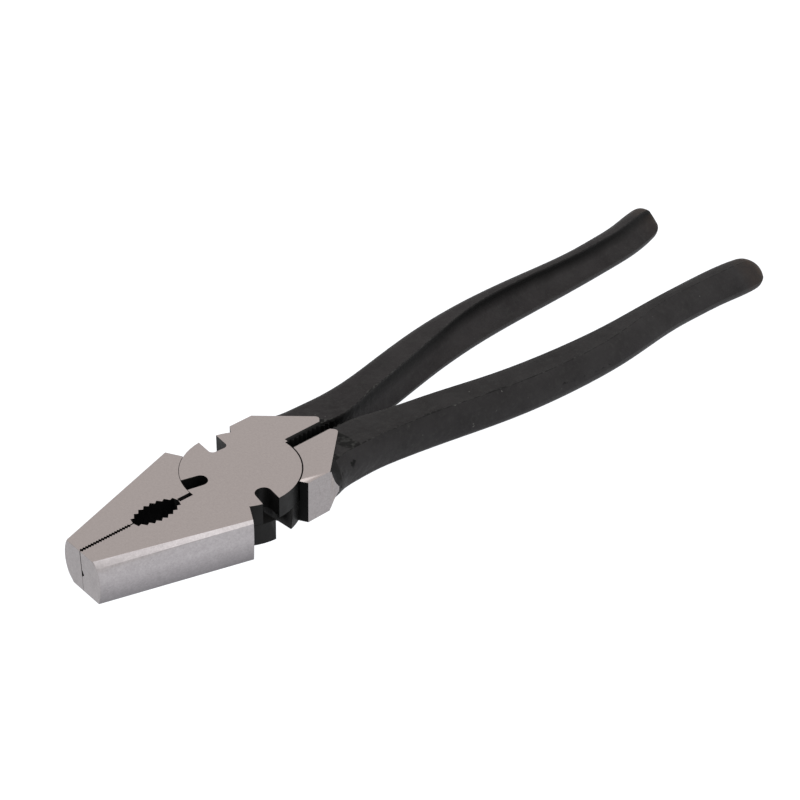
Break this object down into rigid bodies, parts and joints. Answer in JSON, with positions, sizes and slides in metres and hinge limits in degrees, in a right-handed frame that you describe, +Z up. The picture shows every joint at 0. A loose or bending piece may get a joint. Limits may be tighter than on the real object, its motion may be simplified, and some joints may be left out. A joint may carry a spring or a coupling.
{
  "type": "lineman pliers",
  "caption": "Fencing-type lineman pliers with flat bull-nose jaws, pipe grip, side cutter, shear notches, flush lap joint and black dipped handles.",
  "frame": {"origin": "on the pivot axis, in the plane of the ground head's underside", "axes": "+X along the tool towards the jaw tip, +Y towards the top lever's jaw, +Z up along the pivot axis"},
  "size_m": [0.2484, 0.0549, 0.0133],
  "materials": {
    "forged_steel": "satin ground faces, black oxide in the joint, the notches and the slot",
    "rivet_steel": "satin, ground flush with the head",
    "black_dip": "satin black with a fine texture"
  },
  "bodies": {
    "top_lever": {"top_lever": "forged_steel", "top_lever_grip": "black_dip", "pivot_rivet": "rivet_steel"},
    "bottom_lever": {"bottom_lever": "forged_steel", "bottom_lever_grip": "black_dip"}
  },
  "joints": [
    {"name": "pivot", "type": "hinge", "parent": "top_lever", "child": "bottom_lever", "pos_m": [0, 0, 0.00665], "axis": [0, 0, -1], "range_deg": [0, 50]}
  ]
}
